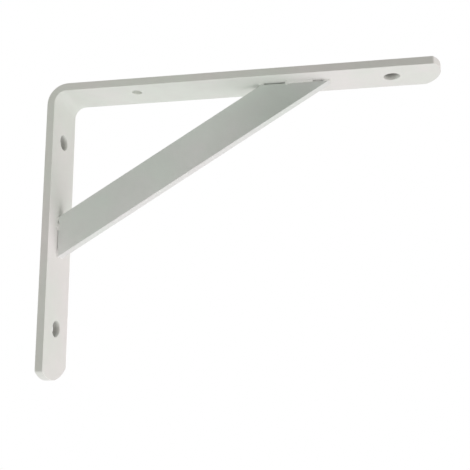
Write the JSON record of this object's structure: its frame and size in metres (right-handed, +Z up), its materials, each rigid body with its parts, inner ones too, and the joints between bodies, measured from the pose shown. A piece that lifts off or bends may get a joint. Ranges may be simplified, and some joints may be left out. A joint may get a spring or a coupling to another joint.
{
  "type": "braced shelf bracket",
  "caption": "Right-angle shelf bracket of bent flat bar with a diagonal brace welded across the inside corner, screwed to a wall to carry a shelf.",
  "frame": {"origin": "on the wall plane, mid-width, halfway between the two wall screws", "axes": "+X out from the wall along the shelf leg, +Z up, +Y along the wall"},
  "size_m": [0.2, 0.025, 0.15],
  "materials": {
    "bar_coating": "white powder coat on steel, satin, light orange peel",
    "brace_coating": "white powder coat on steel, satin, light orange peel",
    "weld_coating": "white powder coat over weld metal, satin, slightly lumpy"
  },
  "bodies": {
    "root": {"angle_bar": "bar_coating", "brace": "brace_coating", "head_weld_left": "weld_coating", "head_weld_right": "weld_coating", "head_toe_weld_left": "weld_coating", "head_toe_weld_right": "weld_coating", "foot_tack_left": "weld_coating", "foot_tack_right": "weld_coating", "foot_toe_weld_left": "weld_coating", "foot_toe_weld_right": "weld_coating"}
  },
  "joints": []
}
